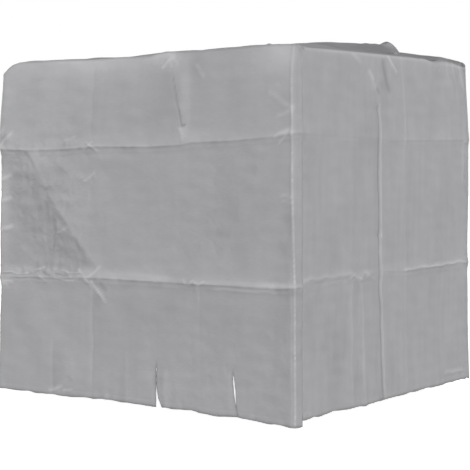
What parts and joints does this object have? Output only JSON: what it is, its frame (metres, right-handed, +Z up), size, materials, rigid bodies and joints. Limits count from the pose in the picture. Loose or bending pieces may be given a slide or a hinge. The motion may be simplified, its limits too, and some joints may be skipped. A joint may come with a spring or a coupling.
{
  "type": "water tank cover",
  "caption": "Hollow fitted cover of grey coated cloth for a box-shaped water tank, with sewn corners, packing creases and slits in the front hem for the tap.",
  "frame": {"origin": "under the middle of the top, where the cloth lies on the tank", "axes": "+Z up, +X along the front towards the end that the picture shows; the front with the slits faces -Y"},
  "size_m": [1.2419, 1.1052, 1.1821],
  "materials": {
    "coated_cloth": "satin coated weave"
  },
  "bodies": {
    "root": {"body_panel": "coated_cloth", "right_end_panel": "coated_cloth", "left_end_panel": "coated_cloth"}
  },
  "joints": []
}
